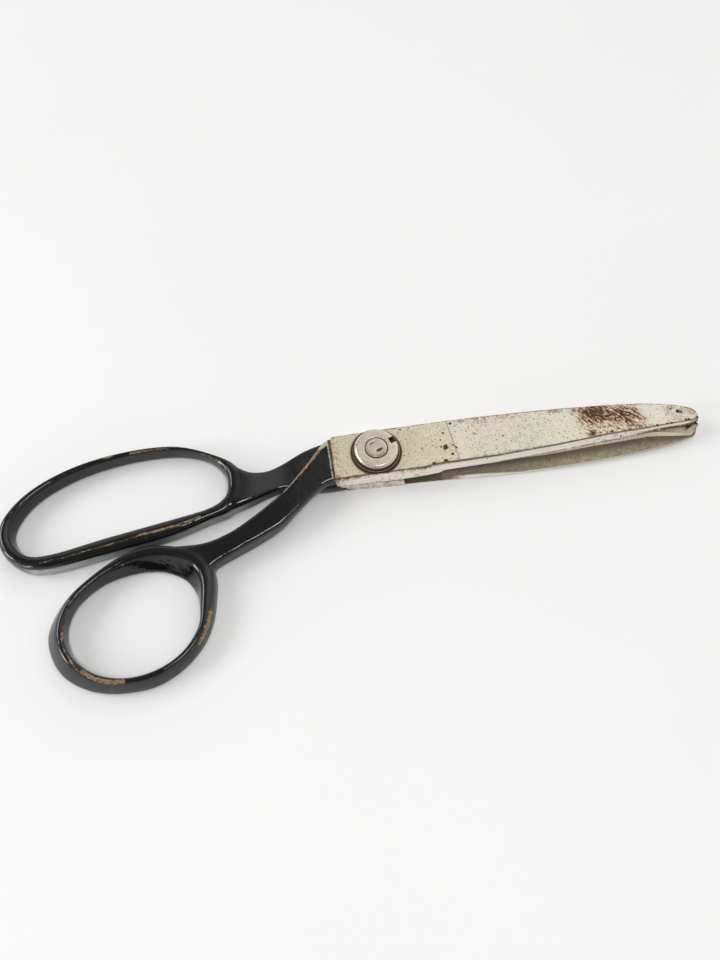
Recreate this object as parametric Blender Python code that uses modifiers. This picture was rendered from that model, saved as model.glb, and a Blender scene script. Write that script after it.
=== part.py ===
"""Pinking shears, 9 inch: two forged halves that turn on a shouldered screw with a round nut.

Frame: +X from the pivot to the blade tips, +Y to the back of the upper blade, +Z up from the table.
The origin is where the pivot axis meets the plane of the finger half's flat underside. The shears
are closed. Sizes are in millimetres and are scaled to metres when an object is made.
"""

import math

import bmesh
import bpy
import numpy as np
from mathutils import Matrix

MM = 0.001

# Driving dimensions, in millimetres and degrees
STACK = 8.8                 # thickness of both halves together at the pivot
MESH_PLANE = STACK / 2      # the plane in which the two halves meet
GAP = 0.3                   # running clearance between neighbours
TAPER_START = 23.0          # the flat hub face ends here and the blade starts to thin
TIP_X = 109.5               # length of a blade from the pivot
TIP_THIN = 1.6              # how much lower the outer face is at the tip than at the hub
CROSSING = 1.7              # degrees that the closed blades have passed each other
PITCH = 4.7625              # tooth pitch, three sixteenths of an inch
TOOTH = PITCH / 4           # half of a tooth's depth, for slopes of 45 degrees
TEETH_FROM = 19.8           # radius where the toothed face starts
TEETH_COUNT = 20
SECTOR = 30.0               # half of the angle that the tooth cutter covers
SECTOR_STEP = 2.0
EDGE = 0.8                  # height of the thin back edge left by the hollow grind
POCKET = (8.0, 21.0)        # a deeper relief beside the hub, ahead of the hollow grind
POCKET_WALL = 0.8           # run of the pocket's end wall
SCREW_R = 3.7               # threaded end of the screw
SHOULDER_R = 4.4            # plain bearing length of the screw
SHOULDER_SHORT = 0.6        # the bearing length ends this far below the top face
HEAD_R = 6.5
HEAD_DEEP = 1.8
HEAD_CHAMFER = 0.4
WASHER_R = 8.05
WASHER_THICK = 0.5
NUT_R = 7.0
NUT_THICK = 1.9
SCREW_PROUD = 0.1           # the screw's end stands this far above the nut
NOTCH = 2.1                 # side of the square spanner notch
NOTCH_DEEP = 1.2
NOTCH_ANGLE = 22.0
ROUND_STEPS = 64
MERGE = 0.00001             # metres, for the seam of a turned piece
BEYOND = 2.0                # how far a cutter runs past what it cuts


# ---------------------------------------------------------------- scene and materials

def clear_scene():
    for item in list(bpy.data.objects):
        bpy.data.objects.remove(item, do_unlink=True)


def collection(name):
    made = bpy.data.collections.new(name)
    bpy.context.scene.collection.children.link(made)
    return made


def material(name, colour, roughness, metallic):
    made = bpy.data.materials.new(name)
    made.use_nodes = True
    shader = made.node_tree.nodes["Principled BSDF"]
    shader.inputs["Base Color"].default_value = (*colour, 1.0)
    shader.inputs["Roughness"].default_value = roughness
    shader.inputs["Metallic"].default_value = metallic
    return made


def to_object(name, bm, home, surface=None):
    """Turns a bmesh in millimetres into a named object in metres."""
    bmesh.ops.scale(bm, vec=(MM, MM, MM), verts=bm.verts)
    if bm.faces:
        bmesh.ops.recalc_face_normals(bm, faces=bm.faces)
    mesh = bpy.data.meshes.new(name)
    bm.to_mesh(mesh)
    bm.free()
    made = bpy.data.objects.new(name, mesh)
    home.objects.link(made)
    if surface:
        mesh.materials.append(surface)
    mesh.shade_smooth()
    mesh.set_sharp_from_angle(angle=math.radians(30))
    return made


def boolean(target, tool, operation):
    """Joins or cuts target with a tool object that is kept as a wire guide."""
    tool.hide_render = True
    tool.display_type = "WIRE"
    step = target.modifiers.new(tool.name, "BOOLEAN")
    step.operation = operation
    step.object = tool
    step.solver = "EXACT"


# ---------------------------------------------------------------- lofts and curves

def smooth(points, count, closed=False):
    """Points along a Catmull-Rom curve through the given rows, count of them between each pair."""
    rows = [np.array(row, float) for row in points]
    last = len(rows) if closed else len(rows) - 1
    made = []
    for i in range(last):
        if closed:
            a, b, c, d = (rows[(i + k) % len(rows)] for k in (-1, 0, 1, 2))
        else:
            a, b, c, d = (rows[min(max(i + k, 0), len(rows) - 1)] for k in (-1, 0, 1, 2))
        for t in np.arange(count) / count:
            bend = (2 * a - 5 * b + 4 * c - d) * t + (3 * b - a - 3 * c + d) * t * t
            made.append(b + 0.5 * t * ((c - a) + bend))
    if not closed:
        made.append(rows[-1])
    return made


def loft(sections, closed=False):
    """A closed skin over sections that all have the same number of points."""
    bm = bmesh.new()
    rings = [[bm.verts.new(point) for point in section] for section in sections]
    pairs = list(zip(rings, rings[1:]))
    if closed:
        pairs.append((rings[-1], rings[0]))
    for one, two in pairs:
        for k in range(len(one)):
            n = (k + 1) % len(one)
            bm.faces.new((one[k], one[n], two[n], two[k]))
    if not closed:
        bm.faces.new(rings[0])
        bm.faces.new(reversed(rings[-1]))
    return bm


def along(table, x):
    """Reads a (place, value) table at x, in straight lines."""
    return float(np.interp(x, [row[0] for row in table], [row[1] for row in table]))


def curved(table, x):
    """Reads a (place, value) table at x, along a smooth curve through its rows."""
    places, values = np.array(table, float).T
    slopes = np.gradient(values, places)
    i = int(np.clip(np.searchsorted(places, x) - 1, 0, len(places) - 2))
    step = places[i + 1] - places[i]
    t = (x - places[i]) / step
    start = values[i] * (1 + 2 * t) * (1 - t) ** 2 + slopes[i] * step * t * (1 - t) ** 2
    end = values[i + 1] * (3 - 2 * t) * t ** 2 - slopes[i + 1] * step * t ** 2 * (1 - t)
    return float(start + end)


# ---------------------------------------------------------------- one blade, in the upper half's place

# Each table gives a distance across from the axis line of the blade, at a distance x from the pivot.
UPPER_BACK = [
    (-14, 7.5), (4, 8.0), (23, 8.2), (43, 8.3), (72, 7.5), (87, 6.6), (98, 5.2), (102.4, 4.25), (105.4, 3.3),
    (107.6, 2.35), (108.9, 1.3), (109.5, 0.0),
]
LOWER_BACK = [
    (-14, 8.6), (8, 8.8), (21, 8.8), (40, 9.0), (64, 8.3), (84, 6.8), (98, 5.0), (105, 3.7), (107.6, 3.0),
    (108.9, 2.3), (109.5, 1.3),
]
CORNER = [
    (-14, -7.7), (14, -7.6), (20, -6.9), (40, -6.5), (59, -5.3), (79, -3.6), (92, -3.0), (107, -2.2),
    (109.5, -1.6),
]
FLANGE = [
    (-14, -8.6), (8, -8.9), (15, -8.7), (20, -8.3), (40, -7.8), (57, -6.9), (73, -5.7), (87, -4.8),
    (98, -3.7), (107, -3.1), (109.5, -2.2),
]
SCOOP_TOP = [
    (-14, 7.4), (8, 7.4), (9, 5.4), (22, 5.4), (40, 4.9), (57, 4.1), (74, 2.5), (85, 1.6), (92, 1.1),
    (97, 1.7), (102, 2.5), (106.5, 3.2), (109.5, 0.2),
]
SETBACK = [(-14, 0.05), (20, 0.05), (22, 1.8), (90, 1.6), (100, 1.3), (109.5, 0.5)]
FLANGE_UNDER = MESH_PLANE + GAP / 2 + TOOTH + 0.02
STATIONS = [
    -14, -6, 2, 8, 8.8, 12, 16, 20, 21.2, 22.5, 27, 33, 40, 48, 57, 65, 74, 80, 86, 92, 97, 100, 102,
    104, 105.5, 106.8, 107.6, 108.2, 108.7, 109.1, 109.35, 109.5,
]
HOLLOW = (0.08, 0.2, 0.35, 0.55, 0.78)      # places across the hollow grind where a section has a point


def outer_face(x):
    """Height of the flat outer face of the upper blade."""
    run = max(0.0, x - TAPER_START) / (TIP_X - TAPER_START)
    return STACK - TIP_THIN * run


def tooth_level(x):
    """Height of the inner face before the grooves are cut: the mating plane, or the tooth tips."""
    plain = MESH_PLANE + GAP / 2
    return along([(20, plain), (21, plain - TOOTH)], x)


def blade_section(x, back_table):
    """Section of the upper blade at x: outer face, bevel, flange, toothed face and hollow grind."""
    top = outer_face(x)
    back, corner, flange = curved(back_table, x), curved(CORNER, x), curved(FLANGE, x)
    inner = tooth_level(x)
    under = along([(20, inner + 0.1), (21.2, FLANGE_UNDER)], x)
    wall = flange + along(SETBACK, x)
    scoop = min(along(SCOOP_TOP, x), back - 0.25)
    rim = along([(POCKET[0], inner + 0.05), (POCKET[0] + POCKET_WALL, top - EDGE)], x)
    steepness = 5.0 if POCKET[0] < x < POCKET[1] else 2.0
    outline = [(back, top), (corner, top), (flange, under), (wall, under), (wall, inner), (scoop, inner)]
    for t in HOLLOW:
        across = scoop + (back - scoop) * t
        hollow = rim + (inner - rim) * (1 - t) ** steepness
        outline.append((across, hollow))
    outline.append((back, rim))
    return [(x, y, z) for y, z in outline]


def blade(back_table):
    return loft([blade_section(x, back_table) for x in STATIONS])


def tooth_height(radius):
    """The zigzag that both toothed faces follow, about the mating plane."""
    phase = ((radius - TEETH_FROM) / PITCH + 0.25) % 1.0
    return TOOTH * (4 * abs(phase - 0.5) - 1)


def tooth_cutter(side):
    """Everything beyond one toothed face: rings about the pivot, so the teeth mesh at any angle."""
    radii = [TEETH_FROM] + [TEETH_FROM + PITCH * (0.25 + 0.5 * k) for k in range(2 * TEETH_COUNT)]
    face = MESH_PLANE + side * GAP / 2
    far = MESH_PLANE - side * 3.0
    outline = [(radius, face + tooth_height(radius)) for radius in radii]
    outline += [(radii[-1], far), (TEETH_FROM, far)]
    sections = []
    for degrees in np.arange(-SECTOR, SECTOR + SECTOR_STEP / 2, SECTOR_STEP):
        turn = math.radians(degrees)
        sections.append([(r * math.cos(turn), r * math.sin(turn), z) for r, z in outline])
    return loft(sections)


# Plan of the area that the grooves reach on the upper blade. They end blind before its far side.
GROOVE_REACH = [
    (15, -30), (15, 9.5), (40, 5.6), (57, 4.6), (74, 2.9), (85, 1.8), (92, 0.8), (103, 0.0),
    (104.2, 2.1), (108.2, -0.1), (120, -5), (120, -30),
]


def groove_reach():
    low = [(x, y, -6.0) for x, y in GROOVE_REACH]
    high = [(x, y, STACK + 6.0) for x, y in GROOVE_REACH]
    return loft([low, high])


# ---------------------------------------------------------------- shanks and bows

# A shank's rows: far edge x, y, near edge x, y, bottom and top height.
THUMB_SHANK = [
    (-12.0, 7.2, -12.0, -7.9, 4.55, 8.72),
    (-15.6, 7.0, -15.6, -8.2, 4.55, 8.7),
    (-19.3, 3.7, -18.6, -9.2, 4.55, 8.62),
    (-23.8, -1.4, -22.1, -11.7, 4.55, 8.5),
    (-30.4, -8.2, -27.8, -16.5, 4.4, 8.3),
    (-36.0, -12.3, -33.3, -20.6, 2.4, 8.0),
    (-42.3, -16.3, -40.6, -23.9, 0.9, 7.6),
    (-49.6, -20.2, -48.0, -27.0, 0.4, 7.2),
    (-57.8, -22.3, -54.4, -30.0, 0.3, 6.8),
    (-66.0, -22.0, -58.6, -34.0, 0.6, 6.3),
]
FINGER_SHANK = [
    (-12.0, 8.4, -12.0, -8.5, 0.05, 4.25),
    (-18.0, 8.1, -18.0, -8.6, 0.0, 4.25),
    (-24.5, 6.0, -24.5, -7.6, 0.0, 4.25),
    (-31.0, 2.7, -31.0, -6.6, 0.0, 4.25),
    (-36.5, 0.4, -37.5, -8.3, 0.0, 5.2),
    (-42.0, 0.6, -43.0, -10.4, 0.0, 6.2),
    (-47.2, 4.2, -47.8, -12.0, 0.1, 6.3),
]

# A bow's rows: hole edge x, y, outer edge x, y, place of the crest across the bar from 0 at the
# hole to 1 outside, and how far the inner and the outer side lean, from 0 upright to 0.5 straight.
THUMB_BOW = [
    (-60.8, -41.6, -55.4, -40.5, 0.45, 0.25, 0.10),
    (-61.2, -48.4, -57.8, -49.8, 0.40, 0.15, 0.15),
    (-65.9, -55.1, -63.6, -57.6, 0.35, 0.12, 0.25),
    (-73.4, -59.3, -72.6, -63.1, 0.30, 0.10, 0.35),
    (-82.5, -60.4, -83.1, -64.4, 0.28, 0.10, 0.40),
    (-91.4, -57.9, -94.2, -62.1, 0.22, 0.05, 0.45),
    (-97.9, -52.1, -102.9, -55.7, 0.14, 0.00, 0.45),
    (-100.4, -44.6, -106.8, -45.5, 0.13, 0.00, 0.45),
    (-98.1, -36.9, -103.8, -36.8, 0.16, 0.00, 0.38),
    (-90.8, -30.8, -96.0, -29.8, 0.40, 0.25, 0.20),
    (-81.9, -28.3, -83.6, -22.4, 0.60, 0.45, 0.10),
    (-72.8, -28.5, -72.6, -20.6, 0.70, 0.50, 0.10),
    (-65.6, -31.9, -60.0, -24.5, 0.70, 0.50, 0.10),
    (-62.2, -36.4, -55.2, -31.3, 0.60, 0.45, 0.10),
]
FINGER_BOW = [
    (-49.8, -3.8, -44.2, -4.5, 0.50, 0.15, 0.15),
    (-51.1, -7.0, -48.2, -12.2, 0.50, 0.15, 0.10),
    (-56.3, -10.1, -55.5, -14.7, 0.55, 0.10, 0.05),
    (-70.1, -12.3, -69.6, -18.9, 0.58, 0.10, 0.05),
    (-88.1, -15.2, -87.4, -21.6, 0.60, 0.10, 0.05),
    (-105.0, -18.4, -105.2, -24.2, 0.58, 0.10, 0.10),
    (-112.7, -18.0, -114.8, -22.4, 0.50, 0.10, 0.15),
    (-117.2, -13.0, -121.5, -15.2, 0.50, 0.10, 0.15),
    (-117.2, -7.1, -121.6, -5.6, 0.50, 0.10, 0.15),
    (-110.8, 1.2, -113.2, 3.9, 0.50, 0.10, 0.15),
    (-97.9, 7.8, -99.4, 10.7, 0.50, 0.10, 0.15),
    (-82.1, 11.3, -82.5, 14.0, 0.50, 0.10, 0.15),
    (-66.3, 11.5, -66.0, 13.8, 0.50, 0.10, 0.15),
    (-55.5, 8.0, -53.5, 9.0, 0.50, 0.15, 0.15),
    (-50.3, 1.8, -45.6, 3.9, 0.50, 0.15, 0.15),
]
BOW_TOP = {"thumb": 6.9, "finger": 6.5}
CREST_FLAT = 0.12           # half of the crest's width, as a share of the bar's
SIDE_FROM = 0.9             # height where a bow's upright side starts
SQUARENESS = 3.2            # 2 makes a bow's shoulder an ellipse, more makes it squarer
ROWS_BETWEEN = 6            # sections between two rows of a bow


def shank_section(row):
    """A bar with rounded corners between a far and a near edge."""
    far, near = np.array(row[0:2]), np.array(row[2:4])
    low, high = row[4], row[5]
    height = high - low
    radius = min(1.3, height * 0.3)
    foot = radius * 0.4
    inset = radius / float(np.linalg.norm(near - far))
    corner = [math.radians(angle) for angle in (90, 60, 30, 0)]
    upper_near = [(1 - inset * (1 - math.cos(a)), high - radius * (1 - math.sin(a))) for a in corner]
    lower = [(1, low + foot), (1 - inset * 0.4, low), (inset * 0.4, low), (0, low + foot)]
    upper_far = [(1 - u, z) for u, z in reversed(upper_near)]
    return [(*(far + (near - far) * u), z) for u, z in upper_near + lower + upper_far]


def shoulder(crest, side, top, lean):
    """Half of a bow's upper outline, from its side at u = side up to the crest."""
    straight = lean * 2
    points = []
    for t in (0.0, 0.25, 0.5, 0.75, 1.0):
        turn = t * math.pi / 2
        square = np.array([math.cos(turn), math.sin(turn)]) ** (2 / SQUARENESS)
        line = np.array([1 - t, t])
        across, up = square * (1 - straight) + line * straight
        points.append((crest + (side - crest) * across, SIDE_FROM + (top - SIDE_FROM) * up))
    return points


def bow_section(row, top):
    """A bow's bar: flat below, with a crest above that leans to one side."""
    hole, outer = np.array(row[0:2]), np.array(row[2:4])
    crest, lean_in, lean_out = row[4:7]
    inner_side = shoulder(crest - CREST_FLAT, 0.0, top, lean_in)
    outer_side = shoulder(crest + CREST_FLAT, 1.0, top, lean_out)
    outline = [(0.08, 0.2), (0.25, 0.0), (0.8, 0.0), (0.95, 0.2)] + outer_side + inner_side[::-1]
    return [(*(hole + (outer - hole) * u), z) for u, z in outline]


def shank(rows):
    return loft([shank_section(row) for row in smooth(rows, 4)])


def bow(rows, top):
    return loft([bow_section(row, top) for row in smooth(rows, ROWS_BETWEEN, closed=True)], closed=True)


# ---------------------------------------------------------------- turned pieces

def turned(name, outline, home, surface, closed):
    """A piece turned about the pivot axis. Its outline runs from the top down its outer side."""
    bm = bmesh.new()
    points = [bm.verts.new((radius, 0.0, height)) for radius, height in outline]
    for one, two in zip(points, points[1:]):
        bm.edges.new((one, two))
    if closed:
        bm.edges.new((points[-1], points[0]))
    made = to_object(name, bm, home, surface)
    step = made.modifiers.new("turned", "SCREW")
    step.axis = "Z"
    step.angle = 2 * math.pi
    step.steps = ROUND_STEPS
    step.render_steps = ROUND_STEPS
    step.use_merge_vertices = True
    step.merge_threshold = MERGE
    return made


def cylinder(radius, low, high):
    bm = bmesh.new()
    bmesh.ops.create_cone(
        bm, cap_ends=True, segments=ROUND_STEPS, radius1=radius, radius2=radius, depth=high - low
    )
    bmesh.ops.translate(bm, vec=(0, 0, (low + high) / 2), verts=bm.verts)
    return bm


def block(size, centre, turn):
    bm = bmesh.new()
    bmesh.ops.create_cube(bm, size=1.0)
    bmesh.ops.scale(bm, vec=size, verts=bm.verts)
    place = Matrix.Rotation(math.radians(turn), 4, "Z") @ Matrix.Translation(centre)
    bmesh.ops.transform(bm, matrix=place, verts=bm.verts)
    return bm


# ---------------------------------------------------------------- the five pieces

def flip_to_lower(bm):
    """Turns a blade of the upper half over into the lower half's place."""
    over = Matrix.Translation((0, 0, STACK)) @ Matrix.Rotation(math.pi, 4, "X")
    back = Matrix.Rotation(math.radians(-CROSSING), 4, "Z")
    bmesh.ops.transform(bm, matrix=back @ over, verts=bm.verts)
    return bm


def make_half(name, blade_bm, shank_bm, bow_bm, reach_bm, side, parts, tools, surface):
    half = to_object(name, blade_bm, parts, surface)
    boolean(half, to_object(name + "_shank", shank_bm, tools), "UNION")
    boolean(half, to_object(name + "_bow", bow_bm, tools), "UNION")
    teeth = to_object(name + "_teeth", tooth_cutter(side), tools)
    boolean(teeth, to_object(name + "_groove_reach", reach_bm, tools), "INTERSECT")
    boolean(half, teeth, "DIFFERENCE")
    bore = cylinder(SHOULDER_R + GAP, -BEYOND, STACK + BEYOND)
    boolean(half, to_object(name + "_bore", bore, tools), "DIFFERENCE")
    return half


def make_thumb_half(parts, tools, surface):
    bow_bm = bow(THUMB_BOW, BOW_TOP["thumb"])
    return make_half(
        "thumb_blade", blade(UPPER_BACK), shank(THUMB_SHANK), bow_bm, groove_reach(), 1,
        parts, tools, surface,
    )


def make_finger_half(parts, tools, surface):
    bow_bm = bow(FINGER_BOW, BOW_TOP["finger"])
    half = make_half(
        "finger_blade", flip_to_lower(blade(LOWER_BACK)), shank(FINGER_SHANK), bow_bm,
        flip_to_lower(groove_reach()), -1, parts, tools, surface,
    )
    seat = cylinder(HEAD_R + GAP, -BEYOND, HEAD_DEEP + GAP)
    boolean(half, to_object("head_seat", seat, tools), "DIFFERENCE")
    return half


def make_screw(parts, surface):
    nut_top = STACK + GAP + WASHER_THICK + GAP + NUT_THICK
    shoulder_top = STACK - SHOULDER_SHORT
    outline = [
        (0.0, nut_top + SCREW_PROUD), (SCREW_R - 0.3, nut_top + SCREW_PROUD), (SCREW_R, nut_top - 0.2),
        (SCREW_R, shoulder_top + 0.3), (SHOULDER_R, shoulder_top), (SHOULDER_R, HEAD_DEEP),
        (HEAD_R, HEAD_DEEP), (HEAD_R, HEAD_CHAMFER), (HEAD_R - HEAD_CHAMFER, 0.0), (0.0, 0.0),
    ]
    return turned("pivot_screw", outline, parts, surface, closed=False)


def make_washer(parts, surface):
    low = STACK + GAP
    high = low + WASHER_THICK
    bore = SCREW_R + GAP
    outline = [(bore, high), (WASHER_R, high), (WASHER_R, low), (bore, low)]
    return turned("tension_washer", outline, parts, surface, closed=True)


def make_nut(parts, tools, surface):
    low = STACK + GAP + WASHER_THICK + GAP
    high = low + NUT_THICK
    bore = SCREW_R + GAP
    outline = [
        (bore, high), (NUT_R - 1.0, high), (NUT_R - 0.55, high - 0.08), (NUT_R - 0.1, high - 0.45),
        (NUT_R + 0.15, low + 0.7), (NUT_R + 0.15, low), (bore, low),
    ]
    nut = turned("pivot_nut", outline, parts, surface, closed=True)
    notch = block(
        (NOTCH + BEYOND, NOTCH, 2 * NOTCH_DEEP), (NUT_R - NOTCH / 2 + BEYOND / 2, 0, high), NOTCH_ANGLE
    )
    boolean(nut, to_object("nut_notch", notch, tools), "DIFFERENCE")
    return nut


def main():
    clear_scene()
    parts = collection("pinking_shears")
    tools = collection("cutters")
    enamel = material("black_enamel_on_steel", (0.02, 0.02, 0.021), 0.15, 0.0)
    nickel = material("worn_nickel", (0.62, 0.58, 0.50), 0.38, 1.0)
    make_thumb_half(parts, tools, enamel)
    make_finger_half(parts, tools, enamel)
    make_screw(parts, nickel)
    make_washer(parts, nickel)
    make_nut(parts, tools, nickel)


main()
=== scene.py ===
"""Looks of the pinking shears: worn black enamel handles, spotted nickel blades, nut, screw and washer.

The CAD solids are the frame. Each half is copied, split at the edge of its enamel, and refined: the
handle is remeshed and smoothed into one forged form, and the blade keeps its crisp faces and teeth.
"""

import math

import bmesh
import bpy
import numpy as np
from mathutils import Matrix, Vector


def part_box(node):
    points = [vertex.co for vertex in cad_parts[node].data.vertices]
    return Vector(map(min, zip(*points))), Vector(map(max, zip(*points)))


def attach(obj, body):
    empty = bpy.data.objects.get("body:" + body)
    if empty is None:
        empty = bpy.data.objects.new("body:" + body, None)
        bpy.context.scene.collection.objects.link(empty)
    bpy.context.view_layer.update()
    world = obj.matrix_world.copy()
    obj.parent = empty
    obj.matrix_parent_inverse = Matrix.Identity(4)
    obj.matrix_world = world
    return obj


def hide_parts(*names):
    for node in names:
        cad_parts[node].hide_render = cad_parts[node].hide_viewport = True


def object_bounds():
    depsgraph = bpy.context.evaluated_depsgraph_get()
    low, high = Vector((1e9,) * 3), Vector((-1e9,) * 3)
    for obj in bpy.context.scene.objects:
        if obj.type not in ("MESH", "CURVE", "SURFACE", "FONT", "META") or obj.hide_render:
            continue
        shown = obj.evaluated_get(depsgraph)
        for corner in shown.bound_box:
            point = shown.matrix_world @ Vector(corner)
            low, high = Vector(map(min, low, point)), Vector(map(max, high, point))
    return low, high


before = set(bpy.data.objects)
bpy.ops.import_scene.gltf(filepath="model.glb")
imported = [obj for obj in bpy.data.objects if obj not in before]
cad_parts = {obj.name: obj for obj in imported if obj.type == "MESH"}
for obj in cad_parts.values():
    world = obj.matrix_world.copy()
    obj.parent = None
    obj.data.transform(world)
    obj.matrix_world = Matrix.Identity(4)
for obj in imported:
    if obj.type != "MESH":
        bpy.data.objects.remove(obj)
cad_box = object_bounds()

MM = 0.001


# ---------------------------------------------------------------- node trees in a few words

class Graph:
    """Builds one material's node tree. Sockets and numbers can be mixed as inputs."""

    def __init__(self, name):
        self.material = bpy.data.materials.new(name)
        self.material.use_nodes = True
        self.tree = self.material.node_tree
        self.tree.nodes.clear()
        place = self.put("TexCoord")
        sizes = {0: place.outputs["Object"], "Scale": 1 / MM}
        self.mm = self.put("VectorMath", sizes, operation="SCALE").outputs[0]
        axes = self.put("SeparateXYZ", {0: self.mm})
        self.x, self.y, self.z = axes.outputs
        facing = self.put("SeparateXYZ", {0: place.outputs["Normal"]})
        self.ny, self.nz = list(facing.outputs)[1:]

    def put(self, kind, inputs=None, **settings):
        node = self.tree.nodes.new("ShaderNode" + kind)
        for key, value in settings.items():
            setattr(node, key, value)
        for key, value in (inputs or {}).items():
            self.join(node.inputs[key], value)
        return node

    def join(self, socket, value):
        if isinstance(value, bpy.types.NodeSocket):
            self.tree.links.new(value, socket)
        elif isinstance(value, tuple) and len(value) == 3 and socket.type == "RGBA":
            socket.default_value = (*value, 1.0)
        else:
            socket.default_value = value

    def math(self, operation, *values):
        node = self.put("Math", operation=operation)
        for socket, value in zip(node.inputs, values):
            self.join(socket, value)
        return node.outputs[0]

    def step(self, value, low, high, start=0.0, end=1.0):
        """Goes smoothly from start to end as value goes from low to high."""
        inputs = {"Value": value, 1: low, 2: high, 3: start, 4: end}
        return self.put("MapRange", inputs, interpolation_type="SMOOTHSTEP").outputs[0]

    def all(self, *values):
        made = values[0]
        for value in values[1:]:
            made = self.math("MULTIPLY", made, value)
        return made

    def any(self, *values):
        made = values[0]
        for value in values[1:]:
            made = self.math("MAXIMUM", made, value)
        return made

    def noise(self, scale, detail=4.0, vector=None, roughness=0.55):
        inputs = {
            "Vector": self.mm if vector is None else vector, "Scale": scale, "Detail": detail,
            "Roughness": roughness,
        }
        return self.put("TexNoise", inputs).outputs["Fac"]

    def stretched(self, turn, scale):
        """Millimetres along axes turned about Z by turn degrees, then scaled along each of them."""
        sizes = tuple(1 / value for value in scale)
        inputs = {0: self.mm, "Rotation": (0.0, 0.0, math.radians(turn)), "Scale": sizes}
        return self.put("Mapping", inputs, vector_type="TEXTURE").outputs[0]

    def dots(self, scale, smallest, largest, rarity, spread="3D"):
        """Round dots in random cells, mostly small ones. A 2D spread lies in the XY plane."""
        cells = self.put("TexVoronoi", {"Vector": self.mm, "Scale": scale}, voronoi_dimensions=spread)
        chance = self.put("SeparateColor", {0: cells.outputs["Color"]}).outputs[0]
        radius = self.math("MULTIPLY_ADD", self.math("POWER", chance, rarity), largest - smallest, smallest)
        edge = self.math("SUBTRACT", radius, cells.outputs["Distance"])
        return self.step(edge, 0.0, 0.04)

    def mix(self, amount, one, two, blend="MIX"):
        node = self.put("Mix", data_type="RGBA", blend_type=blend)
        self.join(node.inputs[0], amount)
        self.join(node.inputs[6], one)
        self.join(node.inputs[7], two)
        return node.outputs[2]

    def curve(self, value, table, low, high):
        """Reads a straight-line (place, value) table of lengths that lie between low and high."""
        first, last = table[0][0], table[-1][0]
        node = self.put("FloatCurve")
        share = self.put("MapRange", {"Value": value, 1: first, 2: last}).outputs[0]
        self.join(node.inputs["Value"], share)
        line = node.mapping.curves[0]
        while len(line.points) < len(table):
            line.points.new(0.5, 0.5)
        for point, (place, amount) in zip(line.points, table):
            point.location = ((place - first) / (last - first), (amount - low) / (high - low))
            point.handle_type = "VECTOR"
        node.mapping.update()
        return self.put("MapRange", {"Value": node.outputs[0], 3: low, 4: high}).outputs[0]

    def finish(self, colour, roughness, metallic, heights, depth, **fixed):
        """Joins everything to a Principled shader. fixed holds numbers that are the same all over."""
        bump = self.put("Bump", {"Height": heights, "Strength": 1.0, "Distance": depth})
        inputs = {
            "Base Color": colour, "Roughness": roughness, "Metallic": metallic, "Normal": bump.outputs[0],
        }
        shader = self.put("BsdfPrincipled", inputs)
        for key, value in fixed.items():
            shader.inputs[key.replace("_", " ")].default_value = value
        out = self.put("OutputMaterial")
        self.tree.links.new(shader.outputs[0], out.inputs[0])
        return self.material


# ---------------------------------------------------------------- colours

NICKEL_DULL = (0.70, 0.635, 0.485)
NICKEL_BRIGHT = (0.725, 0.68, 0.565)
# Painted light: a lighter cream for nickel faces that face the front.
NICKEL_CREAM_PAINTED_LIGHT = (0.86, 0.81, 0.735)
OLIVE = (0.285, 0.25, 0.165)
OLIVE_PALE = (0.45, 0.41, 0.285)
# Painted shade for the hollow of the lower blade: under the upper blade, towards the hub, and in the pocket
# by the hub.
OLIVE_UNDER_BLADE_SHADE = (0.10, 0.082, 0.06)
OLIVE_HUB_SHADE = (0.17, 0.13, 0.10)
OLIVE_POCKET_SHADE = (0.11, 0.092, 0.07)
RUST = (0.092, 0.043, 0.022)
RUST_LIGHT = (0.37, 0.215, 0.115)
RUST_BLACK = (0.042, 0.023, 0.013)
DIRT = (0.075, 0.045, 0.020)
# Painted shade: the lower blade's land beside the upper blade is painted this darker colour.
LAND_PAINTED_SHADE = (0.30, 0.255, 0.20)
ENAMEL = (0.0055, 0.006, 0.0065)
UNDERCOAT = (0.20, 0.120, 0.055)
UNDERCOAT_PALE = (0.36, 0.25, 0.13)
UNDERCOAT_DARK = (0.09, 0.055, 0.030)
CHIP_RIM = (0.075, 0.043, 0.024)
# Rubbed grey on the finger bow's lower wall, lightened as a painted reflection of the floor.
RUBBED_GREY_AND_SHEEN = (0.46, 0.46, 0.465)
PALE_STRIP = (0.36, 0.37, 0.29)
# Bare steel where the enamel is worn through, also used for painted glints.
BARE_STEEL_AND_GLINT = (0.62, 0.60, 0.56)
NUT_TINT = (0.66, 0.61, 0.50)
# Painted shade: the nut's side is painted this darker colour.
NUT_SIDE_SHADE = (0.045, 0.030, 0.020)
SCREW_TINT = (0.61, 0.56, 0.45)
WASHER_TINT = (0.26, 0.20, 0.13)
# Painted shade: the washer's side is painted this darker colour.
WASHER_SIDE_SHADE = (0.012, 0.009, 0.007)
# Dirt and painted shade on the nut and the washer.
DIRT_SHADE_BLACK = (0.016, 0.011, 0.008)
DIRT_SHADE_BROWN = (0.045, 0.027, 0.016)
GRIME_PALE = (0.07, 0.048, 0.03)

# The enamel ends on these planes: a point in millimetres and the direction towards the blade.
ENAMEL_END = {
    "thumb_blade": ((-15.1, 0.0, 0.0), (1.0, 0.02, 0.0)),
    "finger_blade": ((-10.3, -8.6, 0.3), (1.0, 0.0, 1.0)),
}

# Edges of the thumb blade's top face, as (x, y) in millimetres: over the land, and at the back.
CORNER = [
    (-14, -7.7), (14, -7.6), (20, -6.9), (40, -6.5), (59, -5.3), (79, -3.6), (92, -3.0), (107, -2.2),
    (109.5, -1.6),
]
BACK = [(-14, 7.5), (23, 8.2), (43, 8.3), (72, 7.5), (87, 6.6), (98, 5.2), (105.4, 3.3), (109, 1.2)]


# ---------------------------------------------------------------- nickel

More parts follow.
